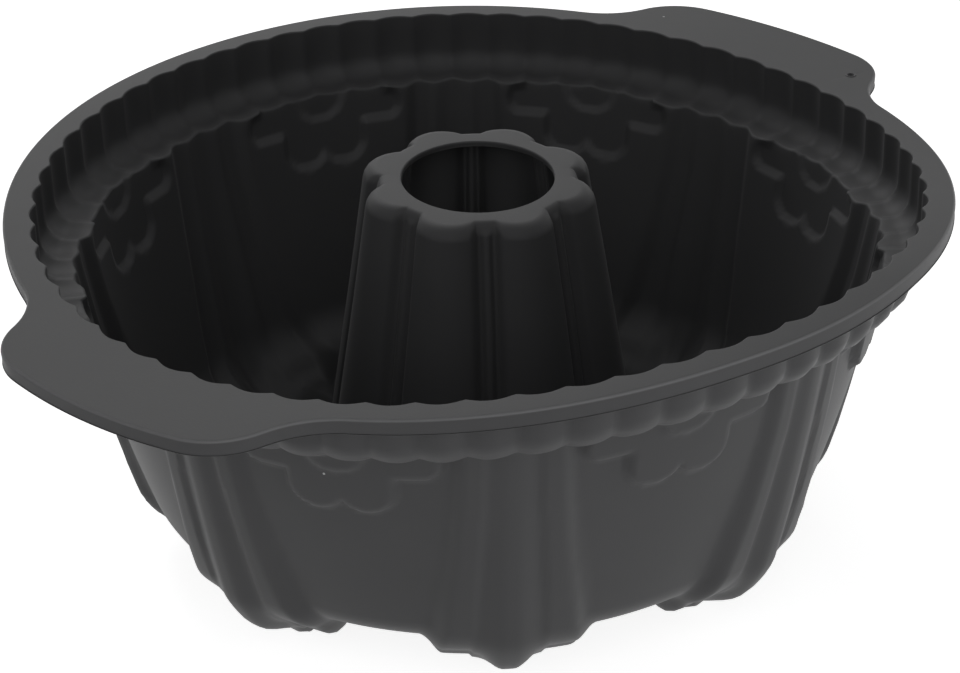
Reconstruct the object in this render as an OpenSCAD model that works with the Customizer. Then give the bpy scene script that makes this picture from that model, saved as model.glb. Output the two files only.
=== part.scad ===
// Fluted brioche mould with a centre chimney: a thin silicone skin that hangs from
// a flat rim with two handle ears, and a steel wire frame moulded into the rim.
// Origin: centre of the circle on which the feet stand. +Z is up, the ears lie along X.

/* [Overall] */
// Outer diameter of the round rim, ears left out
rim_d = 250; // [248:0.5:252]
// Height from the feet to the top face of the rim, halfway up its saddle
height = 105; // [98:1:111]
// Rise of the soft rim over that height between the ears, as it rests on its feet
saddle = 3.7; // [0:0.1:4.4]
// Thickness of the silicone skin
skin = 1.6; // [1.4:0.1:1.8]

/* [Rim and ears] */
// Thickness of the flat rim and of the ears
rim_t = 4.2; // [4:0.1:5]
// How far an ear stands out from the round rim
ear_len = 18.2; // [16:0.2:22]
// Half of the distance between the corner centres of an ear
ear_half = 23.4; // [21:0.2:26]
// Corner radius of an ear
ear_corner = 19; // [16:0.5:20]
// Radius of the hollow where an ear meets the round rim
ear_hollow = 23.6; // [18:0.2:27]
// Radius of the slow curve of an ear's outer edge
ear_bow = 143; // [120:1:200]

/* [Flutes] */
// Width of the flat rim from its outer edge to the deepest line of a flute
rim_w = 7; // [6.8:0.1:7.2]
// Depth of a flute between the ridges beside it
flute_depth = 1.7; // [1.2:0.1:2]
// Distance from the rim's top face down to the floor of a flute
flute_h = 18.5; // [17.5:0.5:20]
// Radius that rounds a flute into its floor
flute_round = 8; // [7:0.5:9]

/* [Wall and pillars] */
// Width of the ledge from the deepest line of a flute in to the panels
ledge_w = 12.2; // [11.4:0.2:13]
// Height of the panels' underside over the ground
panel_z = 16.2; // [14:0.2:17]
// Radius of the rounded corner between a panel and the floor
corner_r = 13; // [11:0.5:15]
// Rise of a pillar's middle rib over the panels at the mouth
rib_rise = 2.6; // [2:0.1:3.2]
// Width of a pillar's middle rib at the mouth
rib_w = 11.8; // [10:0.2:13]
// Width of a whole pillar at the mouth
pillar_w = 28.4; // [26:0.2:30]
// Width of a whole pillar at its foot
foot_w = 42.8; // [38:0.2:43]

/* [Garlands] */
// Rise of a garland over its panel
garland_rise = 1.5; // [1.2:0.1:1.8]
// Distance from the rim's top face down to the lower lobes of a garland
garland_h = 37.5; // [36.5:0.5:38.5]

/* [Chimney] */
// Bore at the top of the chimney
bore_d = 41.4; // [38:0.2:43]
// Radius over the lobes of the chimney at its top
chimney_top_r = 32.2; // [31.8:0.1:33.4]
// Radius over the lobes of the chimney at its root
chimney_root_r = 44.6; // [43:0.2:46]
// Depth of the notches between the lobes
notch_depth = 2.6; // [2:0.1:2.8]
// Width of a notch at the top of the chimney
notch_w = 6.6; // [6:0.2:7.4]

/* [Wire frame] */
// Diameter of the steel wire
wire_d = 2.2; // [2:0.1:2.4]
// Distance from the rim's outer edge to the wire's centre line
wire_inset = 4; // [3.8:0.05:4.1]
// Distance from an ear's edge to the wire's centre line
wire_ear_inset = 6.4; // [6:0.1:6.8]

/* [Hidden] */

sectors = 8;
sector = 360 / sectors;
flutes = 8 * sectors;
flute_sides = 3;
mouth_z = height - flute_h;
cavity_floor = panel_z + skin;
ear_reach = rim_d / 2 + ear_len;
crest_r = rim_d / 2 - rim_w;
wall_r = crest_r - ledge_w;
// How far hidden ends reach into the body, and how far cuts run past its top
tuck = 8;
past = 2;

// Curve of the wall: slope at the mouth, and radius of its bow downwards
wall_slope = 0.135;
wall_bow = 316;
root_round = 7;
lip_round = 4.2;
lobe_fall = 2.4;
bead_rise = 1.4;
bead_w = 3;
// Rise of a flute's floor at the ridges beside it
flute_lift = 1.6;

// Garland: places of the lobes and arms beside its middle, and their radii
lobe_x = 7;
lobe_r = 8;
arm_x = 18.4;
arm_r = 4.4;
arm_drop = 22;
pendant_r = 7;
pendant_drop = 17.5;
pendant_rise = 1;

// Rows of the skin from the mouth (0) over the wall, corner (1 to 2), floor,
// root (3 to 4) and chimney to the end of its rounded lip (6)
rows = [0, 0.5, 1, 1.5, 2, 2.2, 2.5, 3.2, 4, 5, 5.5, 6];

// Stations of the saddle from its middle towards an ear, and how steeply it falls
saddle_rows = [0, 0.25, 0.5, 0.73, 0.93];
saddle_fall = 2.1;

function mix(a, b, f) = a + (b - a) * f;
function polar(r, a) = [r * cos(a), r * sin(a)];
function smooth(x) = x * x * (3 - 2 * x);
// Value between the stations of a list of [row, value]
function along(list, u) = lookup(u, list);

corner_lean = atan(wall_slope + (mouth_z - cavity_floor - corner_r) / wall_bow);
wall_drop = mouth_z - cavity_floor - corner_r * (1 - sin(corner_lean));
corner_c = [wall_radius(wall_drop) - corner_r * cos(corner_lean), cavity_floor + corner_r];
cone_lean = atan((chimney_root_r - chimney_top_r) / (height - cavity_floor));
root_c = [chimney_root_r + root_round, cavity_floor + root_round];
lip_c = [chimney_top_r - lip_round, height - lip_round];

function wall_radius(drop) = wall_r - wall_slope * drop - drop * drop / (2 * wall_bow);
// Meridian line of the cavity at a panel's middle, as [radius, height]
function meridian(u) =
    u <= 1 ? [wall_radius(u * wall_drop), mouth_z - u * wall_drop]
    : u <= 2 ? corner_c + polar(corner_r, mix(-corner_lean, -90, u - 1))
    : u <= 3 ? [mix(corner_c[0], root_c[0], u - 2), cavity_floor]
    : u <= 4 ? root_c + polar(root_round, mix(-90, cone_lean - 180, u - 3))
    : u <= 5 ? mix(root_c + polar(root_round, cone_lean - 180), lip_c + polar(lip_round, cone_lean), u - 4)
    : lip_c + polar(lip_round, mix(cone_lean, 90, u - 5));
// Unit normal that points out of the cavity
function outward(u) =
    let (d = meridian(min(u + 0.02, 6)) - meridian(max(u - 0.02, 0)))
    [-d[1], d[0]] / norm(d);

// Half widths, in mm along the circle, of the middle rib and of the whole pillar
function rib_half(u) = along([[0, rib_w / 2], [1, 0.67 * rib_w], [2, 0.72 * rib_w],
    [3, 0.8 * bead_w], [4, bead_w / 2]], u);
function pillar_half(u) = along([[0, pillar_w / 2], [0.5, mix(pillar_w, foot_w, 0.17) / 2],
    [1, mix(pillar_w, foot_w, 0.7) / 2], [1.6, foot_w / 2], [2, foot_w / 2],
    [2.5, 0.28 * foot_w], [3, 0.75 * notch_w], [4, notch_w / 2]], u);
// Rise over the panel of the middle rib, of the grooves beside it and of the side ribs
function middle_rise(u) = along([[0, rib_rise], [0.5, 1.3 * rib_rise], [1, 2.06 * rib_rise],
    [1.33, 2.5 * rib_rise], [1.67, 0.57 * panel_z], [2, 0.7 * panel_z], [2.2, 1.03 * panel_z],
    [2.5, 1.03 * panel_z], [3, 0.46 * panel_z], [3.5, 0.28 * panel_z], [4, 0.77 * notch_depth], [5, notch_depth - bead_rise]], u);
function groove_rise(u) = along([[0, 0.42 * rib_rise], [0.5, 0.62 * rib_rise], [1, 1.21 * rib_rise],
    [1.33, 1.6 * rib_rise], [1.67, 0.3 * panel_z], [2, 0.49 * panel_z], [2.5, 0.49 * panel_z],
    [3, 0.43 * panel_z], [3.5, 0.3 * panel_z], [4, 1.15 * notch_depth], [5, notch_depth]], u);
function side_rise(u) = along([[0, 0.81 * rib_rise], [0.5, rib_rise], [1, 1.38 * rib_rise],
    [1.67, 1.46 * rib_rise], [2, 0.4 * panel_z], [3, 0.31 * panel_z], [3.5, 0.26 * panel_z],
    [4, notch_depth]], u);
// On the chimney the lobes fall off towards the notches
function fall(u) = lobe_fall * smooth(min(max(u - 3, 0), 1));

// Half of a sector: columns as [share of rib, share of side rib, share of panel]
columns = [[0.45, 0, 0], [1, 0, 0], [1, 0.5, 0], [1, 1, 0], [1, 1, 0.45], [1, 1, 1]];
half_columns = len(columns);

function column_angle(u, k) =
    let (c = columns[k], r = meridian(u)[0] * PI / 180,
        rib = rib_half(u) / r, pillar = pillar_half(u) / r)
    c[0] * rib + c[1] * (pillar - rib) + c[2] * (sector / 2 - pillar);
function column_rise(u, k) =
    k == 0 ? middle_rise(u)
    : k == 1 ? groove_rise(u)
    : k == 2 ? side_rise(u)
    : 0;
function relief(u, k) = column_rise(u, k) + fall(u) * pow(1 - columns[k][2], 2);

// One ring of the skin, grown by g out of the cavity
function ring(u, g) = [
    for (s = [0:sectors - 1], i = [2 - half_columns:half_columns])
        let (k = i > 0 ? i - 1 : -i, m = meridian(u), n = outward(u),
            way = u > 4 ? [-1, 0] : n,
            p = m + n * g + way * relief(u, k),
            a = s * sector + (i > 0 ? 1 : -1) * column_angle(u, k))
        [p[0] * cos(a), p[0] * sin(a), max(p[1], skin - g)]];
function level(points, z) = [for (p = points) [p[0], p[1], z]];
function round_ring(points, r, z) = [for (p = points)
    let (a = atan2(p[1], p[0])) [r * cos(a), r * sin(a), z]];

// A soft rim rests as a shallow saddle: it bends like a sheet, high between the ears
// and low at them, where it lies level. The bend fades down to the floor, and inwards.
bend = [for (s = saddle_rows) [s * rim_d / 2, saddle * (1 - saddle_fall * s * s)]];
function sway(x, y) =
    along(bend, abs(x)) * min(max((norm([x, y]) - chimney_root_r) / (wall_r - chimney_root_r), 0), 1);
function hang(p) =
    let (share = max(p[2] - cavity_floor, 0) / (height - cavity_floor))
    [p[0], p[1], p[2] + share * sway(p[0], p[1])];

// Solid between rings of equal length, hung by the saddle. The last ring joins the first.
module ring_solid(rings) {
    n = len(rings[0]);
    m = len(rings);
    faces = [
        for (j = [0:m - 1], i = [0:n - 1])
            let (a = j * n + i, b = j * n + (i + 1) % n,
                c = ((j + 1) % m) * n + (i + 1) % n, d = ((j + 1) % m) * n + i)
            each [[a, b, c], [a, c, d]]];
    polyhedron(points = [for (r = rings) each [for (p = r) hang(p)]], faces = faces);
}

// The batter's space with its ribs, grown by g and open upwards
module cake(g) {
    body = [for (u = rows) ring(u, g)];
    top = height + past;
    ring_solid(concat([level(body[0], top)], body, [level(body[len(body) - 1], top)]));
}

// Everything inside the outer skin, up to the top plate of the chimney
module outer_body() {
    body = [for (u = rows) if (u != 5.5) ring(u, skin)];
    end = body[len(body) - 1];
    ring_solid(concat([level(body[0], height)], body,
        [for (z = [height - skin, height]) round_ring(end, bore_d / 2, z),
            round_ring(end, chimney_top_r, height)]));
}

// Flutes under the rim, grown by g, from their rounded floor up to the height top
module flute_band(g, top) {
    n = flutes * flute_sides;
    centre_z = height - flute_h + flute_round;
    // How near a column is to the ridge between two flutes: 1 on the ridge, 0 midway
    near = [for (i = [0:n - 1]) pow(abs(2 * (i % flute_sides) / flute_sides - 1), 2)];
    function flute_ring(r, z, lift) = [for (i = [0:n - 1])
        let (a = i * 360 / n, rr = r - flute_depth * near[i])
        [rr * cos(a), rr * sin(a), z + lift * near[i]]];
    arc = [for (a = [0, -50]) [crest_r - flute_round, centre_z] + polar(flute_round + g, a)];
    floor_z = centre_z - flute_round - g;
    ring_solid([
        flute_ring(wall_r - tuck, top, 0),
        flute_ring(crest_r + g, top, 0),
        flute_ring(arc[0][0], arc[0][1], 0),
        flute_ring(arc[1][0], arc[1][1], flute_lift / 2),
        flute_ring(wall_r, floor_z, flute_lift)]);
}

// Outline of a garland in a panel, seen from outside, grown by g
module garland_outline(g) {
    lobe_z = height - garland_h + lobe_r;
    arm_z = height - arm_drop;
    roof = mouth_z + flute_round / 2;
    half = lobe_x + lobe_r + g;
    for (side = [-1, 1]) {
        translate([side * lobe_x, lobe_z])
            circle(lobe_r + g, $fn = 10);
        translate([side * arm_x, arm_z])
            circle(arm_r + g, $fn = 8);
    }
    translate([-half, lobe_z])
        square([2 * half, roof - lobe_z]);
    translate([-arm_x, arm_z - arm_r - g])
        square([2 * arm_x, roof - arm_z + arm_r + g]);
}

// Half disc that hangs under the flutes in the middle of a garland
module pendant_outline(g) {
    translate([0, height - pendant_drop])
        circle(pendant_r + g, $fn = 8);
}

// One copy of an outline in each panel, pushed through the wall and hung with it
module in_each_panel() {
    for (s = [0:sectors - 1])
        let (a = (s + 0.5) * sector, share = (height - arm_drop - cavity_floor) / (height - cavity_floor),
            sides = [for (side = [-1, 1]) polar(wall_r, a) + side * polar(arm_x, a + 90)],
            rise = [for (p = sides) share * sway(p[0], p[1])])
            translate([0, 0, (rise[0] + rise[1]) / 2])
                rotate([0, 0, a])
                    translate([wall_r - 2 * tuck, 0, mouth_z])
                        rotate([atan((rise[1] - rise[0]) / (2 * arm_x)), 0, 0])
                            translate([0, 0, -mouth_z])
                                rotate([90, 0, 90])
                                    linear_extrude(3 * tuck)
                                        children();
}

module garlands(g) {
    intersection() {
        in_each_panel() garland_outline(g);
        cake(g + garland_rise);
    }
    intersection() {
        in_each_panel() pendant_outline(g);
        cake(g + garland_rise + pendant_rise);
    }
}

// Closed contour of the rim and its ears, made of tangent arcs: bow, corner and
// hollow of each ear, and the round rim. The ring and the ears have their own inset.
corner_x = ear_reach - ear_bow + sqrt(pow(ear_bow - ear_corner, 2) - ear_half * ear_half);
ear_c = [corner_x, ear_half];
bow_c = [ear_reach - ear_bow, 0];
bow_end = atan2(ear_half, corner_x - bow_c[0]);

function arc_points(c, r, from, to, steps) = [for (i = [0:steps - 1]) c + polar(r, mix(from, to, i / steps))];
// Centre of the hollow circle that touches the ring and the ear's corner circle
function hollow_centre(inset, ear_inset) =
    let (a = norm(ear_c), b = rim_d / 2 + ear_hollow, c = ear_corner - ear_inset + ear_hollow + inset)
    polar(b, atan2(ear_half, corner_x) + acos((a * a + b * b - c * c) / (2 * a * b)));
function quarter(inset, ear_inset) =
    let (hollow = hollow_centre(inset, ear_inset), ray = hollow - ear_c,
        corner_end = atan2(ray[1], ray[0]), ring_start = atan2(hollow[1], hollow[0]))
    concat(
        arc_points(bow_c, ear_bow - ear_inset, 0, bow_end, 2),
        arc_points(ear_c, ear_corner - ear_inset, bow_end, corner_end, 4),
        arc_points(hollow, ear_hollow + inset, corner_end + 180, ring_start + 180, 3),
        arc_points([0, 0], rim_d / 2 - inset, ring_start, 90, 10));
function contour(inset, ear_inset) =
    let (q = quarter(inset, ear_inset),
        half = concat(q, [[0, rim_d / 2 - inset]],
            [for (i = [len(q) - 1:-1:1]) [-q[i][0], q[i][1]]]))
    concat(half, [for (p = half) -p]);

// Flat rim plate with the ears and a small chamfer on its upper edge
module rim_plate() {
    chamfer = 0.5;
    bottom = height - rim_t;
    within = crest_r - 2 * flute_depth;
    outer = [for (l = [[chamfer, height], [0, height - chamfer], [0, bottom]])
        level(contour(l[0], l[0]), l[1])];
    ring_solid(concat(outer,
        [round_ring(outer[0], within, bottom), round_ring(outer[0], within, height)]));
}

// Closed bar along the wire's line, with its flats at distance r from the line
module wire_loop(r, sides) {
    reach = r / cos(180 / sides);
    ring_solid([for (k = [0:sides - 1])
        let (a = (k + 0.5) * 360 / sides, out = reach * cos(a))
        level(contour(wire_inset - out, wire_ear_inset - out), height - rim_t / 2 - reach * sin(a))]);
}

// Small blind hole in one ear, where a pin held the wire while the rim was moulded
wire_gap = 0.1;
pin_hole_d = 1.8;
pin_c = hollow_centre(wire_inset, wire_ear_inset)
    + polar(ear_hollow + wire_inset + wire_d / 2 + wire_gap, -106);

module silicone_mould() {
    color([0.29, 0.29, 0.3])
        resize([2 * ear_reach, rim_d, height + saddle])
            difference() {
                union() {
                    rim_plate();
                    outer_body();
                    flute_band(skin, height - rim_t / 2);
                    garlands(skin);
                }
                cake(0);
                flute_band(0, height + past);
                garlands(0);
                wire_loop(wire_d / 2 + wire_gap, 4);
                translate([pin_c[0], -pin_c[1], height - rim_t / 2 + sway(pin_c[0], pin_c[1])])
                    cylinder(d = pin_hole_d, h = rim_t, $fn = 12);
            }
}

// The wire closes on itself and follows the rim and both ears
module wire_frame() {
    color([0.75, 0.76, 0.78])
        wire_loop(wire_d / 2, 12);
}

silicone_mould();
wire_frame();
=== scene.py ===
# %% [markdown]
# # A silicone brioche mould with a centre chimney
#
# The real object is one casting of dark grey silicone: a flat rim with two ears,
# a fluted collar, a wall with eight pillars and a garland in each panel, small feet
# and a hollow chimney. A steel wire is sealed in the rim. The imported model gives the
# frame: every length below fits the box that it loads.

# %% Load the frame
import math

import bpy
import numpy as np
from mathutils import Matrix, Vector


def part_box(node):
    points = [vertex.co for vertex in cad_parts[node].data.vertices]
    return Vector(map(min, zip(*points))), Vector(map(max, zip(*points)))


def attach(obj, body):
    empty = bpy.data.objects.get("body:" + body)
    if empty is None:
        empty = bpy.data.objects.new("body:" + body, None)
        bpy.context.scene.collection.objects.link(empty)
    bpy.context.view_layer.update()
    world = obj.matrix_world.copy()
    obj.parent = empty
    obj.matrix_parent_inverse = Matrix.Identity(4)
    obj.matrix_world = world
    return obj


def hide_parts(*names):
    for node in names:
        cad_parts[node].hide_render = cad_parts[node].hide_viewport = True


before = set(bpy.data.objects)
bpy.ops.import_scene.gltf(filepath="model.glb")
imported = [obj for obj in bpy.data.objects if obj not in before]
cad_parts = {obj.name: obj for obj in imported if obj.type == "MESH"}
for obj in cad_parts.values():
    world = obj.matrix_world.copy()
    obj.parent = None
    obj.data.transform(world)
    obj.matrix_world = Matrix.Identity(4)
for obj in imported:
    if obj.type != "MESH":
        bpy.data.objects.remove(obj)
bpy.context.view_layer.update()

low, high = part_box("silicone_mould")
print("mould box in mm", [round(1000 * (b - a), 1) for a, b in zip(low, high)])

# %% [markdown]
# ## Sizes
#
# A designer draws such a mould from a few lengths. They are kept in millimetres,
# the same as in the model's source, and turned into metres when a mesh is made.
# The overall ones are read from the frame, so the visible skin can't drift from it.
# The smaller ones stand further down, in the cells that need them.

# %% Overall lengths in millimetres
MM = 0.001
saddle = 3.7
height = high[2] / MM - saddle
rim_r = high[1] / MM
ear_reach = high[0] / MM
skin = 1.6
rim_t = 4.2
rim_w = 7.0
ledge_w = 12.2
flute_h = 17.6
panel_z = 16.2
crest_r = rim_r - rim_w
wall_r = crest_r - ledge_w
mouth_z = height - flute_h
cavity_floor = panel_z + skin
print("height %.1f, rim radius %.1f, reach of an ear %.1f" % (height, rim_r, ear_reach))

# %% [markdown]
# ## The grid
#
# The skin of a ring mould is a torus: one way round the axis, and one way round the
# cross-section, down the inside, up the chimney, through its bore and back up the
# outside to the rim. So the whole casting is one grid that closes both ways, with no
# pole and no seam. It could also be cut from a lathed body with hundreds of Booleans,
# but a grid lets every rib swell and fade as the real ones do. Each row of it is a line
# round the axis, and 640 columns give every one of the 64 flutes ten faces.

# %% Columns
SECTORS = 8
FLUTES = 64
COLUMNS = 640
azimuth = np.arange(COLUMNS) * 2 * math.pi / COLUMNS
half_sector = math.pi / SECTORS
# Angle to the nearest pillar, and to the middle of the panel
from_pillar = np.abs((azimuth + half_sector) % (2 * half_sector) - half_sector)
from_panel = half_sector - from_pillar
print("columns:", COLUMNS, "with %.2f degrees between them" % (360 / COLUMNS))

# %% Steps and curves


def ease(x, start, end):
    """Soft step: 0 up to start, 1 from end, and the cubic 3x^2 - 2x^3 between them."""
    t = np.clip((x - start) / (end - start), 0, 1)
    return t * t * (3 - 2 * t)


def mix(a, b, share):
    """Straight line from a to b."""
    return a + (b - a) * share


def along(stations, u):
    """Curve through stations of (place, value): a cubic between neighbours whose slope at
    each station is the harmonic mean of the slopes beside it, so that it never overshoots."""
    x, y = np.array(stations, float).T
    step = np.diff(x)
    slope = np.diff(y) / step
    tangent = np.zeros_like(y)
    before, after = slope[:-1], slope[1:]
    same_way = before * after > 0
    tangent[1:-1][same_way] = (2 * before * after)[same_way] / (before + after)[same_way]
    k = np.clip(np.searchsorted(x, u, side="right") - 1, 0, len(step) - 1)
    t = np.clip((u - x[k]) / step[k], 0, 1)
    return (y[k] * (1 + 2 * t) * (1 - t) ** 2 + y[k + 1] * t * t * (3 - 2 * t)
            + step[k] * t * (1 - t) * (tangent[k] * (1 - t) - tangent[k + 1] * t))


print("a quarter of the way up a soft step: %.3f" % ease(0.25, 0, 1))

# %% Ridges
# Ridges between the flutes, near 1 on a ridge and near 0 midway, and rounded at the top
ridge_round = 0.15
across_flute = np.abs(2 * (azimuth * FLUTES / (2 * math.pi) % 1) - 1)
ridge = 1 - np.hypot(1 - across_flute ** 2, ridge_round)
print("ridge values from", ridge.min().round(2), "to", ridge.max().round(2))

# %% [markdown]
# ## The cross-section
#
# The cavity's line through a panel is a bowed wall, a round corner, a flat floor, a
# round root, the leaning side of the chimney and its rounded lip. A single place u
# runs along it: 0 to 1 is the wall, 1 to 2 the corner, 2 to 3 the floor, 3 to 4 the
# root, 4 to 5 the chimney and 5 to 6 the lip. Arcs are written as circles, because
# the tools that cut a steel mould leave true circles.

# %% Arcs of the meridian
wall_slope = 0.135
wall_bow = 316.0
corner_r = 13.0
root_round = 7.0
lip_round = 4.2
chimney_top_r = 32.2
chimney_root_r = 44.6
corner_lean = math.atan(wall_slope + (mouth_z - cavity_floor - corner_r) / wall_bow)
wall_drop = mouth_z - cavity_floor - corner_r * (1 - math.sin(corner_lean))
chimney_lean = math.atan((chimney_root_r - chimney_top_r) / (height - cavity_floor))


def wall_radius(drop):
    """Inner radius of a panel: a straight slope plus a parabola downwards."""
    return wall_r - wall_slope * drop - drop * drop / (2 * wall_bow)


def on_circle(centre, radius, angle):
    """Point on a circle, as radius and height."""
    return centre[0] + radius * np.cos(angle), centre[1] + radius * np.sin(angle)


corner_c = (wall_radius(wall_drop) - corner_r * math.cos(corner_lean), cavity_floor + corner_r)
root_c = (chimney_root_r + root_round, cavity_floor + root_round)
lip_c = (chimney_top_r - lip_round, height - lip_round)
chimney_foot = on_circle(root_c, root_round, chimney_lean - math.pi)
chimney_head = on_circle(lip_c, lip_round, chimney_lean)
print("wall drop %.1f, corner centre %.1f %.1f" % (wall_drop, *corner_c))

# %% Meridian


def meridian(u):
    """The cavity's line in the middle of a panel, as radius and height at the places u."""
    u = np.asarray(u, float)
    corner = on_circle(corner_c, corner_r, mix(-corner_lean, -math.pi / 2, u - 1))
    root = on_circle(root_c, root_round, mix(-math.pi / 2, chimney_lean - math.pi, u - 3))
    lip = on_circle(lip_c, lip_round, mix(chimney_lean, math.pi / 2, u - 5))
    where = [u <= 1, u <= 2, u <= 3, u <= 4, u <= 5]
    r = np.select(where, [wall_radius(u * wall_drop), corner[0], mix(corner_c[0], root_c[0], u - 2),
                          root[0], mix(chimney_foot[0], chimney_head[0], u - 4)], lip[0])
    z = np.select(where, [mouth_z - u * wall_drop, corner[1], cavity_floor + 0 * u,
                          root[1], mix(chimney_foot[1], chimney_head[1], u - 4)], lip[1])
    return r, z


def outward(u):
    """Unit vector at right angles to the meridian, pointing out of the cavity."""
    r0, z0 = meridian(np.maximum(u - 0.01, 0))
    r1, z1 = meridian(np.minimum(u + 0.01, 6))
    length = np.hypot(r1 - r0, z1 - z0)
    return (z0 - z1) / length, (r1 - r0) / length


lip_end = meridian([6])
print("the lip ends at radius %.1f and height %.1f" % (lip_end[0][0], lip_end[1][0]))

# %% [markdown]
# ## The relief
#
# A pillar has a middle rib, a groove on each side of it and a side rib before the
# panel. It widens downwards, runs out under the floor as a foot, and narrows again to
# become the bead and the notch between two lobes of the chimney. Rise is measured
# out of the cavity. Soft steps join the ribs, as fillets do in the steel mould. Ribs
# made as pieces of their own would show a hard seam at each joint. Here every size is
# a curve over u through a few stations, so a foot can swell and fade out.

# %% Widths of a pillar
rib_w = 11.8
pillar_w = 28.4
foot_w = 42.8
bead_w = 4.8
notch_w = 6.6


def rib_half(u):
    """Half width of the middle rib along the circle."""
    return along([(0, rib_w / 2), (1, 0.67 * rib_w), (2, 0.72 * rib_w), (3, 0.7 * bead_w),
                  (4, bead_w / 2)], u)


def pillar_half(u):
    """Half width of the whole pillar along the circle."""
    return along([(0, pillar_w / 2), (0.5, mix(pillar_w, foot_w, 0.17) / 2),
                  (1, mix(pillar_w, foot_w, 0.7) / 2), (1.6, foot_w / 2), (2, foot_w / 2),
                  (2.5, 0.28 * foot_w), (3, 0.75 * notch_w), (4, 0.68 * notch_w)], u)


print("a pillar's width at the ledge and at the foot: %.1f, %.1f" % (2 * pillar_half(0), 2 * pillar_half(2)))

# %% Rises of a pillar
rib_rise = 2.6
bead_rise = 1.1
notch_depth = 2.6


def middle_rise(u):
    """Rise of the middle rib: it grows into the foot and ends as the notch's bead."""
    return along([(0, rib_rise), (0.5, 1.3 * rib_rise), (1, 2.06 * rib_rise), (1.33, 2.5 * rib_rise),
                  (1.67, 0.57 * panel_z), (2, 0.7 * panel_z), (2.2, 1.13 * panel_z), (2.5, 1.13 * panel_z),
                  (3, 0.46 * panel_z), (3.5, 0.28 * panel_z), (4, 0.77 * notch_depth),
                  (4.8, notch_depth - bead_rise), (5.2, notch_depth), (6, 0.4 * notch_depth)], u)


def groove_rise(u):
    """Rise of the grooves beside the middle rib."""
    return along([(0, 0.6 * rib_rise), (0.5, 0.7 * rib_rise), (1, 1.21 * rib_rise), (1.33, 1.6 * rib_rise),
                  (1.67, 0.3 * panel_z), (2, 0.55 * panel_z), (2.5, 0.55 * panel_z), (3, 0.43 * panel_z),
                  (3.5, 0.3 * panel_z), (4, 1.15 * notch_depth), (5.2, notch_depth),
                  (6, 0.4 * notch_depth)], u)


def side_rise(u):
    """Rise of the side ribs."""
    return along([(0, 0.81 * rib_rise), (0.5, rib_rise), (1, 1.38 * rib_rise), (1.67, 1.46 * rib_rise),
                  (1.85, 0.4 * panel_z), (2.05, 0.52 * panel_z), (2.4, 0.46 * panel_z),
                  (3, 0.31 * panel_z), (3.5, 0.26 * panel_z), (4, notch_depth),
                  (5.2, notch_depth), (6, 0.4 * notch_depth)], u)


print("the foot's middle rises %.1f and its sides %.1f" % (middle_rise(2.35), side_rise(2.05)))

# %% Relief of the pillars and lobes
crest_share = 0.15
groove_start = 0.1
flank_wall, flank_chimney = 0.6, 0.12
pillar_end = 1.06
lobe_fall = 2.4


def relief(u):
    """Rise of the skin over the panels for the rows u and all columns: soft steps from the
    middle rib to the groove, the side rib and the panel. On the chimney, the lobes fall
    off to the notches as a parabola."""
    radius = meridian(u)[0]
    rib = rib_half(u) / radius
    pillar = pillar_half(u) / radius
    side = pillar - rib
    flank = rib + mix(flank_wall, flank_chimney, ease(u, 3, 4)) * side
    edges = [crest_share * rib, rib, rib + groove_start * side, flank, pillar_end * pillar]
    levels = [middle_rise(u), groove_rise(u), side_rise(u), side_rise(u), 0 * u]
    rise = levels[0] + 0 * from_pillar
    for k in range(4):
        rise = rise + (levels[k + 1] - levels[k]) * ease(from_pillar, edges[k], edges[k + 1])
    panel_share = np.clip((from_pillar - pillar) / (half_sector - pillar), 0, 1)
    return rise + lobe_fall * ease(u, 3, 4) * (1 - panel_share) ** 2


lip_relief = relief(np.array([[5.0]]))
print("relief of the chimney from lobe to notch: %.1f to %.1f" % (lip_relief.min(), lip_relief.max()))

# %% [markdown]
# The garland hangs in each panel: two round lobes, a shoulder with a rounded arm on
# each side, and a half disc in front. It could be a picture that displaces the wall,
# but that would give ragged edges. Its outline is a distance to the nearest of these
# shapes instead, and one soft step of that distance gives an even raised edge.
# Outside it is bolder and softer, by shares of the skin's thickness.

# %% Garlands
garland_rise = 1.5
pendant_rise = 1.0
edge_half = 0.5
rise_gain, spread_gain, soft_gain = 0.4, 0.3, 0.2
garland_end = 0.7
lobe_x, lobe_r, lobe_drop = 6.0, 6.9, 30.6
arm_x, arm_r, arm_drop = 20.0, 4.4, 22.0
pendant_r, pendant_drop = 8.1, 16.2


def garland(radius, z, grow):
    """Rise of the garland at a radius and height: the distance to the union of its circles
    and blocks, less a share of grow, as a soft step. The half disc has a step of its own."""
    side = radius * np.sin(from_panel)
    lobe_z = height - lobe_drop
    arm_z = height - arm_drop
    gap = np.hypot(side - lobe_x, z - lobe_z) - lobe_r
    gap = np.minimum(gap, np.hypot(side - arm_x, z - arm_z) - arm_r)
    gap = np.minimum(gap, np.maximum(side - lobe_x - lobe_r, lobe_z - z))
    gap = np.minimum(gap, np.maximum(side - arm_x, arm_z - arm_r - z))
    pendant = np.hypot(side, z - height + pendant_drop) - pendant_r
    spread = spread_gain * grow
    rise = garland_rise + rise_gain * grow
    soft = edge_half + soft_gain * grow
    flat = rise * (1 - ease(gap - spread, -soft, soft))
    disc = (rise + pendant_rise) * (1 - ease(pendant - spread, -soft, soft))
    return np.maximum(flat, disc)


print("the garland ends %.1f under the rim" % (lobe_drop + lobe_r))

# %% [markdown]
# ## Rows of the skin
#
# The cavity side and the outside are the same drawing at two distances: one row is
# the meridian's point moved outwards by the skin and by the relief. On the outside
# the skin is added, and the feet are cut level with a soft limit, so that their
# noses stay round.

# %% Skin rows
floor_blend = 2.2


def as_rows(values):
    """A list of places as a column of rows, for grid arithmetic."""
    return np.array(values, float)[:, None]


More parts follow.
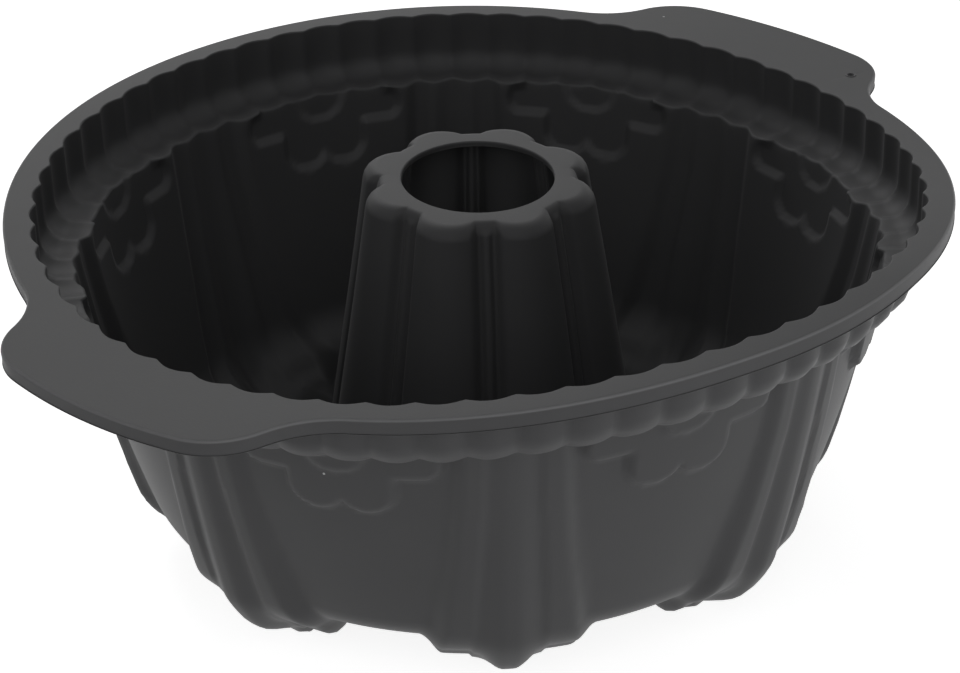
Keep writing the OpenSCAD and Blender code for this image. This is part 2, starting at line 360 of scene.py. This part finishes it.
def soft_floor(z, level):
    """Keeps z over a level: the larger of the two, rounded over a short blend."""
    over = (z - level) / floor_blend
    return np.where(over > 1, z, level + floor_blend * np.where(over < -1, 0, (over + 1) ** 2 / 4))


def skin_rows(places, grow):
    """Radius and height of the skin's rows at the places u, grown out of the cavity. From
    the chimney's foot up, the relief points at the axis and not out of the cavity."""
    u = as_rows(places)
    r, z = meridian(u)
    nr, nz = outward(u)
    rise = relief(u) + np.where(u < garland_end, garland(r, z, grow), 0)
    way_r = np.where(u > 4, -1, nr)
    way_z = np.where(u > 4, 0, nz)
    radius = r + nr * grow + way_r * rise
    level = skin - grow
    return radius, soft_floor(z + nz * grow + way_z * rise, level)


# %% Places of the rows
# Close together where the garland's edges are, by the drop from the ledge, and then wider
garland_drops = (1.9, 3.2, 4.5, 5.7, 6.8, 7.9, 9.1, 10.4, 11.8, 13.1, 14.3, 15.4, 16.5, 17.6, 18.7,
                 19.9, 21.2)
plain_start = 22.8
upper_wall = [drop / wall_drop for drop in garland_drops]
lower_wall = [mix(plain_start / wall_drop, 1, share) for share in (0, 0.18, 0.38, 0.6, 0.82)]
corner_rows = list(1 + np.arange(10) / 10)
floor_rows = [2, 2.1, 2.2, 2.35, 2.5, 2.64, 2.82]
root_rows = [3, 3.25, 3.5, 3.75]
chimney_rows = [4, 4.33, 4.67]
lip_rows = list(5 + np.arange(6) / 5)
inside_places = upper_wall + lower_wall + corner_rows + floor_rows + root_rows + chimney_rows + lip_rows
print("rows down the cavity and up the chimney:", len(inside_places))

# %% [markdown]
# The collar under the rim is a band of 64 flutes. Each is a round channel that stands
# nearly upright, curls in at its foot and ends in a ledge. Where two flutes meet there
# is a ridge, and the ledge is a little higher behind it, so that its edge is scalloped.

# %% Collar rows
flute_depth = 1.7
flute_round = 6.5
flute_round_out = 8.0
flute_lift = 1.6
lift_turn = 0.7 * math.pi
ledge_start_lift, ledge_edge_lift = 0.78 * flute_lift, 0.55 * flute_lift


def collar_rows(grow, angles):
    """Rows of a flute's rounded foot: a quarter circle, drawn in by the ridges."""
    turn = as_rows(np.radians(angles))
    size = mix(flute_round, flute_round_out, grow / skin)
    r, z = on_circle((crest_r - size, mouth_z + size), size + grow, turn)
    lift = flute_lift * ease(-turn, 0, lift_turn)
    return r - flute_depth * ridge * np.sqrt(np.cos(turn)), z + lift * ridge


def collar_wall(grow, heights):
    """Upright rows of the flutes at given heights."""
    z = as_rows(heights)
    return crest_r + grow - flute_depth * ridge + 0 * z, z + 0 * ridge


def mouth_rows(grow, corner, order):
    """Ledge and corner where the collar meets the wall. The corner is a small round of the
    given size; order is the list of its rows, as shares of the ledge or points on the round."""
    z_edge = mouth_z - grow + ledge_edge_lift * ridge
    bare = wall_r + grow + relief(as_rows([0]))[0]
    edge = bare + garland(bare, z_edge, grow)
    start_r = crest_r - mix(flute_round, flute_round_out, grow / skin)
    start_z = mouth_z - grow + ledge_start_lift * ridge
    rows = []
    for kind, value in order:
        if kind == "ledge":
            rows.append((mix(start_r, edge + corner, value), mix(start_z, z_edge, value)))
        else:
            turn = math.radians(value)
            rows.append((edge + corner * (1 - math.cos(turn)), z_edge - corner * (1 - math.sin(turn))))
    return np.array([r for r, z in rows]), np.array([z for r, z in rows])


print("ledge at %.1f, from radius %.1f to %.1f" % (mouth_z, wall_r, crest_r - flute_round))

# %% [markdown]
# ## Rim and ears
#
# The rim's outline is made of arcs that touch: the slow bow of an ear, its corner, the
# hollow where it meets the ring, and the ring. A line drawn parallel to it is the same
# arcs with other radii, which is how its rounded edges stay even all the way round.

# %% Centres of the rim's arcs
ear_half = 23.4
ear_corner = 19.0
ear_hollow = 23.6
ear_bow = 143.0
corner_x = ear_reach - ear_bow + math.sqrt((ear_bow - ear_corner) ** 2 - ear_half ** 2)
ear_c = np.array([corner_x, ear_half])
reach = np.linalg.norm(ear_c)
link = ear_corner + ear_hollow
spread = math.acos((reach ** 2 + (rim_r + ear_hollow) ** 2 - link ** 2) / (2 * reach * (rim_r + ear_hollow)))
hollow_turn = math.atan2(ear_half, corner_x) + spread
hollow_c = (rim_r + ear_hollow) * np.array([math.cos(hollow_turn), math.sin(hollow_turn)])
bow_end = math.atan2(ear_half, corner_x - (ear_reach - ear_bow))
corner_end = math.atan2(*(hollow_c - ear_c)[::-1])
print("centre of an ear's corner %.1f %.1f and of its hollow %.1f %.1f" % (*ear_c, *hollow_c))

# %% A quarter of the outline


def arc(centre, radius, start, end, side, steps=300):
    """Points of an arc with their outward normals; side is -1 where the arc is hollow."""
    turn = np.linspace(start, end, steps)
    way = np.stack([np.cos(turn), np.sin(turn)], 1)
    return np.hstack([np.array(centre) + radius * way, side * way])


quarter = np.vstack([
    arc((ear_reach - ear_bow, 0), ear_bow, 0, bow_end, 1),
    arc(ear_c, ear_corner, bow_end, corner_end, 1),
    arc(hollow_c, ear_hollow, corner_end + math.pi, hollow_turn + math.pi, -1),
    arc((0, 0), rim_r, hollow_turn, math.pi / 2, 1)])
quarter_turn = np.arctan2(quarter[:, 1], quarter[:, 0])
print("outline grows steadily with the azimuth:", bool((np.diff(quarter_turn) >= -1e-9).all()))

# %% The whole outline
# The near ear is pulled round a little more than the far one; the ring between them hides it
near_pull, far_pull = 1.5, 0.35
pulled = np.radians(np.where(np.cos(azimuth) < 0, near_pull, far_pull))
own_turn = azimuth - pulled
folded = np.abs((own_turn + math.pi / 2) % math.pi - math.pi / 2)
sign_x = np.where(np.cos(own_turn) < 0, -1, 1)
sign_y = np.where(np.sin(own_turn) < 0, -1, 1)
px, py, nx, ny = [np.interp(folded, quarter_turn, quarter[:, k]) for k in range(4)]


def pulled_round(x, y):
    """Turns the quarter's mirrored points about the axis by the pull of their ear."""
    x, y = x * sign_x, y * sign_y
    return np.stack([x * np.cos(pulled) - y * np.sin(pulled), x * np.sin(pulled) + y * np.cos(pulled)], 1)


outline = pulled_round(px, py)
outline_out = pulled_round(nx, ny)
outline_out /= np.linalg.norm(outline_out, axis=1)[:, None]
print("the outline reaches %.1f at the near ear" % -outline[:, 0].min())

# %% Rows as points


def rim_rows(steps):
    """Rows on the rim's edge: each step is the inset from the outline and the height."""
    return np.stack([np.concatenate([outline - inset * outline_out, np.full((COLUMNS, 1), z)], 1)
                     for inset, z in steps])


def around(rows):
    """Turns rows of radius and height into points."""
    r, z = rows
    return np.stack([r * np.cos(azimuth), r * np.sin(azimuth), z], 2)


print("two rows of points:", rim_rows([(0, height), (0, height - rim_t)]).shape)

# %% [markdown]
# Now the rows are stacked in the order in which a finger would follow the skin: over
# the rim's inner edge, down the flutes, across the ledge, down the cavity and up the
# chimney, down through the bore, and back outside to the rim's outer edge.

# %% Rounded edges
top_z, under_z = height, height - rim_t
plate_z = height - skin
bore_r = 20.4
rim_round, under_round, flute_edge, bore_round = 0.7, 0.2, 0.5, 0.4


def rounded(radius):
    """Four steps round an edge, as inset and drop, from its top to its side."""
    return [(radius * (1 - math.cos(turn)), radius * (1 - math.sin(turn)))
            for turn in np.radians([90, 60, 30, 0])]


def stacked(pairs):
    """A list of (radius, height) as rows of points; a single number goes all the way round."""
    return around((np.array([r + 0 * ridge for r, z in pairs]), np.array([z + 0 * ridge for r, z in pairs])))


top_edge = [(inset, top_z - drop) for inset, drop in rounded(rim_round)]
bottom_edge = [(inset, under_z + drop) for inset, drop in rounded(under_round)[::-1]]
flute_line = crest_r - flute_depth * ridge
collar_top = [(flute_line + inset, top_z - drop) for inset, drop in rounded(flute_edge)]
fillet_drop, fillet_side, fillet_foot = 0.5, 0.15, 0.6
collar_fillet = [(flute_line + skin + fillet_side, under_z - fillet_drop),
                 (flute_line + skin + fillet_foot, under_z)]
bore_edge = [(bore_r + inset, top_z - drop) for inset, drop in rounded(bore_round)]
bore_foot_out, bore_foot_up = 0.3, 0.2
bore_foot = [(bore_r, plate_z + bore_foot_up), (bore_r + bore_foot_out, plate_z)]
print("radii of the rim's edge above and below: %.1f, %.1f" % (rim_round, under_round))

# %% Stack of rows
# Two rows of the lip are left out where it is hidden inside the hollow chimney
outside_places = [place for place in inside_places[::-1] if place not in (5.4, 5.8)]
rows = np.concatenate([
    stacked(collar_top),
    around(collar_wall(0, [mix(top_z, mouth_z + flute_round, s) for s in (0.35, 0.7)])),
    around(collar_rows(0, [0, -18, -36, -54, -72, -88])),
    around(mouth_rows(0, 0.7, [("ledge", 0.45), ("round", 90), ("round", 50), ("round", 0)])),
    around(skin_rows(inside_places, 0)),
    stacked(bore_edge),
    stacked(bore_foot),
    around(skin_rows(outside_places, skin)),
    around(mouth_rows(skin, 1.1, [("round", 0), ("round", 50), ("round", 90), ("ledge", 0.45)])),
    around(collar_rows(skin, [-88, -68, -48, -28, -10])),
    around(collar_wall(skin, [mix(mouth_z + flute_round_out, under_z, 0.5)])),
    stacked(collar_fillet),
    rim_rows(bottom_edge),
    rim_rows(top_edge[::-1])])
print("rows:", len(rows), "triangles:", 2 * len(rows) * COLUMNS)

# %% [markdown]
# ## How the soft rim hangs
#
# Silicone of this thickness doesn't stay flat on its own: the rim rises between the
# ears and hangs at them, so it is a shallow saddle, a little uneven as soft things are.
# A simulation could find such a shape, but two cosines round the axis follow this mould
# closely and give the same result each time. The bend fades out down the wall and
# towards the chimney, because the feet stand level.

# %% Saddle
waves = ((2, 3.4, 7.7), (3, 1.23, 35.5))
wave_mean = -0.34
chimney_move = (1.09, 0.94)
chimney_slope = (0.019, 0.049)
feet_move = (-0.4, 1.6)
limit_round = 0.3


def hang(points):
    """Moves points by a saddle: cosines of twice and three times the azimuth, softly limited
    at the frame's top, times the shares of height and radius. The chimney's top leans by a
    slope, and the feet stand a little aside, in proportion to the drop from the mouth."""
    turn = np.arctan2(points[..., 1], points[..., 0])
    radius = np.hypot(points[..., 0], points[..., 1])
    wave = wave_mean - sum(size * np.cos(order * (turn + math.radians(lag))) for order, size, lag in waves)
    room = saddle - wave
    wave = saddle - (room + np.hypot(room, limit_round)) / 2
    outer = np.clip((radius - chimney_root_r) / (wall_r - chimney_root_r), 0, 1)
    upper = np.clip((points[..., 2] - cavity_floor) / (height - cavity_floor), 0, 1)
    inner = (1 - outer) * upper
    lower = np.clip(1 - points[..., 2] / mouth_z, 0, 1)
    bent = points.copy()
    bent[..., 2] += wave * outer * upper
    bent[..., 2] += inner * (chimney_slope[0] * points[..., 0] + chimney_slope[1] * points[..., 1])
    for axis in (0, 1):
        bent[..., axis] += chimney_move[axis] * inner + feet_move[axis] * lower
    return bent


skin_grid = hang(rows)
rim_z = skin_grid[-1, :, 2]
print("the rim's top lies %.1f to %.1f over the feet" % (rim_z.min(), rim_z.max()))

# %% [markdown]
# ## From a grid to a mesh
#
# Casting, wire and lip are all closed tubes, so one helper serves them: it numbers the
# grid's points and joins each to its neighbours as quads, without a loop over vertices.
# The quads turn the way that makes their fronts face outwards. A positive volume proves
# it, and the Boolean further down needs it: turned inwards, it would add a peg.

# %% Mesh helpers


def torus_mesh(name, grid):
    """Mesh of a grid that closes both ways: every vertex joins the next in its row and in
    the next row, and the last row and column join the first."""
    m, n = grid.shape[:2]
    index = np.arange(m * n).reshape(m, n)
    right = np.roll(index, -1, 1)
    down = np.roll(index, -1, 0)
    corner = np.roll(down, -1, 1)
    faces = np.stack([index, right, corner, down], 2).reshape(-1, 4)
    mesh = bpy.data.meshes.new(name)
    mesh.vertices.add(m * n)
    mesh.vertices.foreach_set("co", (grid * MM).reshape(-1))
    mesh.loops.add(faces.size)
    mesh.loops.foreach_set("vertex_index", faces.reshape(-1))
    mesh.polygons.add(len(faces))
    mesh.polygons.foreach_set("loop_start", np.arange(len(faces)) * 4)
    mesh.update(calc_edges=True)
    mesh.shade_smooth()
    piece = bpy.data.objects.new(name, mesh)
    bpy.context.scene.collection.objects.link(piece)
    return piece


def signed_volume(grid):
    """Volume inside a closed grid in cubic centimetres: a sixth of the sum of a . (b x c)
    over its triangles, by the divergence theorem."""
    a = grid
    b = np.roll(grid, -1, 1)
    c = np.roll(b, -1, 0)
    d = np.roll(grid, -1, 0)
    first = np.einsum("ijk,ijk->", a, np.cross(b, c))
    second = np.einsum("ijk,ijk->", a, np.cross(c, d))
    return (first + second) / 6 / 1000


print("silicone volume: %.1f cubic centimetres" % signed_volume(skin_grid))

# %% [markdown]
# ## The casting
#
# The whole grid becomes one object. The upper outer edge of the rim is marked with an
# attribute, which carries a painted highlight along it. Weighted normals keep the flat rim flat
# beside its small rounds, which plain smooth shading would blur.

# %% The silicone skin
mould = torus_mesh("silicone_skin", skin_grid)
# The last four rows go round the rim's upper edge, and the two in their middle carry a painted highlight
painted_highlight_share = np.zeros(skin_grid.shape[:2], np.float32)
painted_highlight_share[-3:-1] = 1
# The edge attribute is 1 where the painted highlight goes along the rim's upper edge
mould.data.attributes.new("edge", "FLOAT", "POINT").data.foreach_set("value", painted_highlight_share.reshape(-1))
even = mould.modifiers.new("even shading", "WEIGHTED_NORMAL")
even.mode = "FACE_AREA"
even.weight = 50
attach(mould, "root")
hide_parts("silicone_mould")
print("vertices and faces of the casting:", len(mould.data.vertices), len(mould.data.polygons))

# %% [markdown]
# ## The pin hole
#
# A pin held the wire while the rim was moulded, and it left a small blind hole with a
# raised lip in the far ear. The grid has no room for a hole this small, so a cylinder is
# subtracted by a Boolean modifier, which runs before the weighted normals and is then
# made real. Its manifold solver gives the same hole on each run, and the change of
# volume is printed. It leaves an empty material slot, which is cleared. The lip is a
# little ring laid over the hole's edge.

# %% Pin hole
pin = np.array([126.9, -33.7])
pin_r, pin_depth, lip_r = 0.95, 2.0, 0.34
pin_z = hang(np.array([[*pin, height]]))[0, 2]
SIDES = 32
pin_turn = np.arange(SIDES) * 2 * math.pi / SIDES


def lathe_rows(stations):
    """Rings round the pin's axis from (radius, height over the rim's top)."""
    return np.stack([np.stack([pin[0] + r * np.cos(pin_turn), pin[1] + r * np.sin(pin_turn),
                               pin_z + z + 0 * pin_turn], 1) for r, z in stations])


def mesh_volume(mesh):
    """Volume inside any closed mesh in cubic millimetres, by the same theorem."""
    mesh.calc_loop_triangles()
    points = np.empty(3 * len(mesh.vertices))
    mesh.vertices.foreach_get("co", points)
    corners = np.empty(3 * len(mesh.loop_triangles), int)
    mesh.loop_triangles.foreach_get("vertices", corners)
    a, b, c = (points.reshape(-1, 3) / MM)[corners.reshape(-1, 3)].transpose(1, 0, 2)
    return np.einsum("ij,ij->", a, np.cross(b, c)) / 6


LIP_SIDES = 12
lip_turn = np.arange(LIP_SIDES) * 2 * math.pi / LIP_SIDES
lip_grid = lathe_rows([(pin_r + lip_r + lip_r * math.cos(t), 0.5 * lip_r * math.sin(t)) for t in lip_turn])
lip = torus_mesh("pin_lip", lip_grid)
print("lip volume in cubic millimetres: %.2f" % (1000 * signed_volume(lip_grid)))
bpy.ops.mesh.primitive_cylinder_add(vertices=SIDES, radius=pin_r * MM, depth=2 * pin_depth * MM,
                                    location=(*(pin * MM), pin_z * MM))
cutter = bpy.context.object
cut = mould.modifiers.new("pin hole", "BOOLEAN")
cut.operation = "DIFFERENCE"
cut.solver = "MANIFOLD"
cut.object = cutter
mould.modifiers.move(1, 0)
pierced = bpy.data.meshes.new_from_object(mould.evaluated_get(bpy.context.evaluated_depsgraph_get()))
print("faces before and after the hole:", len(mould.data.polygons), len(pierced.polygons))
print("volume of the hole in cubic millimetres: %.2f" % (mesh_volume(mould.data) - mesh_volume(pierced)))
mould.modifiers.clear()
mould.data = pierced
mould.data.materials.clear()
bpy.data.objects.remove(cutter)
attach(lip, "root")

# %% [markdown]
# ## The wire in the rim
#
# A closed loop of steel wire keeps the rim in shape. It could be a curve with a round
# bevel, but a small grid on the rim's own outline follows the ears and the sag by
# itself. Nobody sees the wire, yet the part can be cut open on a screen, so it lies
# where the casting holds it.

# %% Wire
wire_r = 1.1
wire_inset = 4.0
wire_ear_inset = 6.4
ear_from, ear_to = 112, 122
WIRE_SIDES = 16
WIRE_STEP = 4
wire_z = height - rim_t / 2
line_inset = mix(wire_inset, wire_ear_inset, ease(np.abs(outline[:, 0]), ear_from, ear_to))
wire_turn = np.arange(WIRE_SIDES) * 2 * math.pi / WIRE_SIDES


def wire_row(turn):
    """The line on the wire's surface at a turn round its section: the outline drawn in by
    the inset less a cosine, at the wire's height plus a sine."""
    flat = outline - (line_inset - wire_r * math.cos(turn))[:, None] * outline_out
    return np.concatenate([flat, np.full((COLUMNS, 1), wire_z + wire_r * math.sin(turn))], 1)


wire_grid = hang(np.stack([wire_row(turn) for turn in wire_turn])[:, ::WIRE_STEP])
print("wire volume: %.2f cubic centimetres" % signed_volume(wire_grid))
wire = torus_mesh("rim_wire", wire_grid)
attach(wire, "root")
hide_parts("wire_frame")

# %% [markdown]
# ## Helpers for materials
#
# A material is a tree of nodes. Three small helpers keep the lines below short: one turns
# a grey as read off a screen into linear light, one starts a material with its shader,
# and one adds a node together with its settings.

# %% Material helpers


def colour(value):
    """A grey or a colour, written as on a screen (0 to 255), as linear light: a straight
    part near black, and a power of 2.4 above it."""
    v = np.array(value, float) / 255
    return tuple(np.where(v <= 0.04045, v / 12.92, ((v + 0.055) / 1.055) ** 2.4)) + (1,)


def principled(name):
    """A new material, its nodes and its Principled shader."""
    material = bpy.data.materials.new(name)
    material.use_nodes = True
    tree = material.node_tree
    return material, tree, tree.nodes["Principled BSDF"]


def put(tree, kind, **values):
    """A new node. Each value goes to the input of that name, or else to the setting."""
    node = tree.nodes.new(kind)
    for key, value in values.items():
        if key in node.inputs:
            node.inputs[key].default_value = value
        else:
            setattr(node, key, value)
    return node


print("a screen grey of 70 as linear light: %.3f" % colour((70, 70, 70))[0])

# %% [markdown]
# ## Silicone
#
# Moulded silicone is matte: it copies the blasted surface of its steel mould. Its grey
# drifts a little from place to place, which is noise on the object's own coordinates,
# and a painted highlight pales the rim's upper edge, which the attribute marks. A weak
# shine and a little sheen are enough: a stronger one would make it look like hard plastic.

# %% Grey of the silicone
silicone, tree, shader = principled("matte silicone")
shader.inputs["Roughness"].default_value = 0.5
shader.inputs["Specular IOR Level"].default_value = 0.14
shader.inputs["Sheen Weight"].default_value = 0.05
shader.inputs["Sheen Roughness"].default_value = 0.5
where = put(tree, "ShaderNodeTexCoord")
drift = put(tree, "ShaderNodeTexNoise", Scale=22.0, Detail=4.0, Roughness=0.6)
tree.links.new(where.outputs["Object"], drift.inputs["Vector"])
tone = put(tree, "ShaderNodeMix", data_type="RGBA")
tone.inputs["A"].default_value = colour((66, 66, 67))
tone.inputs["B"].default_value = colour((74, 74, 75))
tree.links.new(drift.outputs["Fac"], tone.inputs["Factor"])
# Painted highlight: the edge attribute mixes the rim's upper edge towards a pale grey
edge = put(tree, "ShaderNodeAttribute", attribute_name="edge")
painted_highlight = put(tree, "ShaderNodeMix", data_type="RGBA")
painted_highlight.inputs["B"].default_value = colour((112, 112, 113))
tree.links.new(edge.outputs["Fac"], painted_highlight.inputs["Factor"])
tree.links.new(tone.outputs["Result"], painted_highlight.inputs["A"])
print("nodes for the grey:", len(tree.nodes))

# %% [markdown]
# Dust clings to silicone as a few pale specks. Voronoi cells scatter points over the
# surface: a speck is what lies very near to a point, and a random number of each cell
# leaves most cells without one.

# %% Dust
SPECK_NEAR = 0.022
SPECK_RARE = 0.8
cells = put(tree, "ShaderNodeTexVoronoi", Scale=70.0)
tree.links.new(where.outputs["Object"], cells.inputs["Vector"])
near = put(tree, "ShaderNodeMath", operation="LESS_THAN")
near.inputs[1].default_value = SPECK_NEAR
tree.links.new(cells.outputs["Distance"], near.inputs[0])
parts = put(tree, "ShaderNodeSeparateColor")
tree.links.new(cells.outputs["Color"], parts.inputs[0])
few = put(tree, "ShaderNodeMath", operation="GREATER_THAN")
few.inputs[1].default_value = SPECK_RARE
tree.links.new(parts.outputs[0], few.inputs[0])
speck = put(tree, "ShaderNodeMath", operation="MULTIPLY")
tree.links.new(near.outputs[0], speck.inputs[0])
tree.links.new(few.outputs[0], speck.inputs[1])
dusty = put(tree, "ShaderNodeMix", data_type="RGBA")
dusty.inputs["B"].default_value = colour((190, 190, 190))
tree.links.new(speck.outputs[0], dusty.inputs["Factor"])
tree.links.new(painted_highlight.outputs["Result"], dusty.inputs["A"])
tree.links.new(dusty.outputs["Result"], shader.inputs["Base Color"])
print("share of cells with a speck: %.0f percent" % (100 * (1 - SPECK_RARE)))

# %% [markdown]
# The blasted steel also leaves a grain that breaks up the shine. It is far finer than
# the grid, so it is a bump: noise that only turns the normal.

# %% Grain
grain = put(tree, "ShaderNodeTexNoise", Scale=2600.0, Detail=2.0)
tree.links.new(where.outputs["Object"], grain.inputs["Vector"])
bump = put(tree, "ShaderNodeBump", Strength=0.25, Distance=0.0001)
tree.links.new(grain.outputs["Fac"], bump.inputs["Height"])
tree.links.new(bump.outputs["Normal"], shader.inputs["Normal"])
mould.data.materials.append(silicone)
lip.data.materials.append(silicone)
print("nodes of the silicone:", len(tree.nodes))

# %% [markdown]
# ## Steel
#
# Drawn wire is bright and smooth. A metal needs no more than its colour and a low
# roughness, as nothing of it shows.

# %% Steel wire
steel, steel_tree, steel_shader = principled("drawn steel wire")
steel_shader.inputs["Base Color"].default_value = colour((190, 190, 192))
steel_shader.inputs["Metallic"].default_value = 1.0
steel_shader.inputs["Roughness"].default_value = 0.3
wire.data.materials.append(steel)
print("nodes of the steel:", len(steel_tree.nodes))

# %% [markdown]
# ## Floor and background
#
# The mould stands on white paper. The paper could be made white by more light, but that
# would wash out the mould. So the white is added only for rays that are seen: those of
# the camera and those that mirrors and glass pass on. For all others the paper is plain
# and keeps the shadow.

# %% Floor
floor_half = 3
floor_corners = [(x * floor_half, y * floor_half, 0) for x, y in ((-1, -1), (1, -1), (1, 1), (-1, 1))]
floor_mesh = bpy.data.meshes.new("floor")
floor_mesh.from_pydata(floor_corners, [], [(0, 1, 2, 3)])
floor = bpy.data.objects.new("floor", floor_mesh)
bpy.context.scene.collection.objects.link(floor)
print("floor: %d metres each way" % (2 * floor_half))

# %% White for what is seen
PAPER_GLOW = 0.85
SKY_LIGHT, SKY_SHOWN = 0.08, 1.0


def seen_only(tree):
    """Node socket that is 1 for camera, glossy and transmission rays, and 0 for the rest."""
    path = put(tree, "ShaderNodeLightPath")
    seen = path.outputs["Is Camera Ray"]
    for name in ("Is Glossy Ray", "Is Transmission Ray"):
        either = put(tree, "ShaderNodeMath", operation="MAXIMUM")
        tree.links.new(seen, either.inputs[0])
        tree.links.new(path.outputs[name], either.inputs[1])
        seen = either.outputs[0]
    return seen


def strength_for_seen(tree, unseen, shown):
    """Node socket with one strength for seen rays and another for those that only light."""
    strength = put(tree, "ShaderNodeMapRange")
    strength.inputs["To Min"].default_value = unseen
    strength.inputs["To Max"].default_value = shown
    tree.links.new(seen_only(tree), strength.inputs["Value"])
    return strength.outputs[0]


paper, paper_tree, paper_shader = principled("pale paper")
paper_shader.inputs["Base Color"].default_value = (0.85, 0.85, 0.85, 1)
paper_shader.inputs["Roughness"].default_value = 1.0
paper_shader.inputs["Specular IOR Level"].default_value = 0.0
paper_shader.inputs["Emission Color"].default_value = (1, 1, 1, 1)
paper_tree.links.new(strength_for_seen(paper_tree, 0.0, PAPER_GLOW), paper_shader.inputs["Emission Strength"])
floor_mesh.materials.append(paper)

world = bpy.data.worlds.new("studio")
world.use_nodes = True
bpy.context.scene.world = world
sky = world.node_tree
background = sky.nodes["Background"]
background.inputs["Color"].default_value = (1, 1, 1, 1)
sky.links.new(strength_for_seen(sky, SKY_LIGHT, SKY_SHOWN), background.inputs["Strength"])
print("background strength for light and for the camera:", SKY_LIGHT, SKY_SHOWN)

# %% [markdown]
# ## Light
#
# The photo was taken on white paper in soft light: the paper throws as much light on
# the outside as the sky does on the rim, and little of it gets into the cavity. A light
# picture of a studio could be wrapped round the scene, but lamps can be set one by one.
# So two long strips stand low in front for the paper, and three wide softboxes hang
# higher: a strong one behind, a weaker one in front and a faint one at the left.

# %% Lamps
AIM = Vector((0, 0, 0.05))


def softbox(name, place, width, depth, power):
    """A rectangular area lamp that looks at the mould."""
    lamp = bpy.data.lights.new(name, "AREA")
    lamp.shape = "RECTANGLE"
    lamp.size = width
    lamp.size_y = depth
    lamp.energy = power
    box = bpy.data.objects.new(name, lamp)
    box.location = place
    box.rotation_euler = (AIM - Vector(place)).to_track_quat("-Z", "Y").to_euler()
    box.visible_camera = False
    bpy.context.scene.collection.objects.link(box)
    return power


watts = [softbox("behind", (0.508, 0.784, 1.0), 0.9, 0.9, 5.2),
         softbox("front", (-0.824, -0.729, 0.9), 1.0, 1.0, 2.6),
         softbox("left", (-1.121, 0.21, 0.6), 0.8, 0.8, 0.9),
         softbox("low front", (-0.562, -0.497, 0.05), 1.2, 0.1, 1.2),
         softbox("low right", (0.094, -0.785, 0.05), 0.9, 0.1, 1.7)]
print("lamps:", len(watts), "with %.1f watts together" % sum(watts))

# %% [markdown]
# ## Camera
#
# The camera stands where the photo was taken from. Its place comes from the round rim,
# which the lens shows as an ellipse: how flat the ellipse is gives the elevation, and how
# much bigger the near ear looks than the far one gives the distance. A distance and two
# angles say where it stands, and a tilt, a pan and a roll say how it looks.

# %% Camera
VIEW_AZIMUTH = -138.526
DISTANCE = 691.5
ELEVATION, TILT, PAN, ROLL = 24.803, 28.263, -0.064, -1.739
FOCAL_PIXELS, IMAGE_WIDTH = 2600, 960
SENSOR = 36
NEAREST = 0.01


def direction(turn, rise):
    """Unit vector at a turn round the axis and a rise over the level, both in radians."""
    return Vector((math.cos(turn) * math.cos(rise), math.sin(turn) * math.cos(rise), math.sin(rise)))


turn = math.radians(VIEW_AZIMUTH)
rim_centre = Vector((0, 0, (height + wave_mean) * MM))
place = rim_centre + DISTANCE * MM * direction(turn, math.radians(ELEVATION))
forward = direction(turn + math.pi - math.radians(PAN), -math.radians(TILT))
level_right = forward.cross(Vector((0, 0, 1))).normalized()
level_up = level_right.cross(forward)
roll = math.radians(ROLL)
right = math.cos(roll) * level_right + math.sin(roll) * level_up
up = -math.sin(roll) * level_right + math.cos(roll) * level_up
camera_data = bpy.data.cameras.new("camera")
camera_data.sensor_width = SENSOR
camera_data.lens = SENSOR * FOCAL_PIXELS / IMAGE_WIDTH
camera_data.clip_start = NEAREST
camera = bpy.data.objects.new("camera", camera_data)
camera.matrix_world = Matrix((right, up, -forward)).transposed().to_4x4()
camera.location = place
bpy.context.scene.collection.objects.link(camera)
bpy.context.scene.camera = camera
bpy.context.scene.view_settings.view_transform = "Standard"
print("camera at", [round(v, 3) for v in place], "lens %.1f mm" % camera_data.lens)
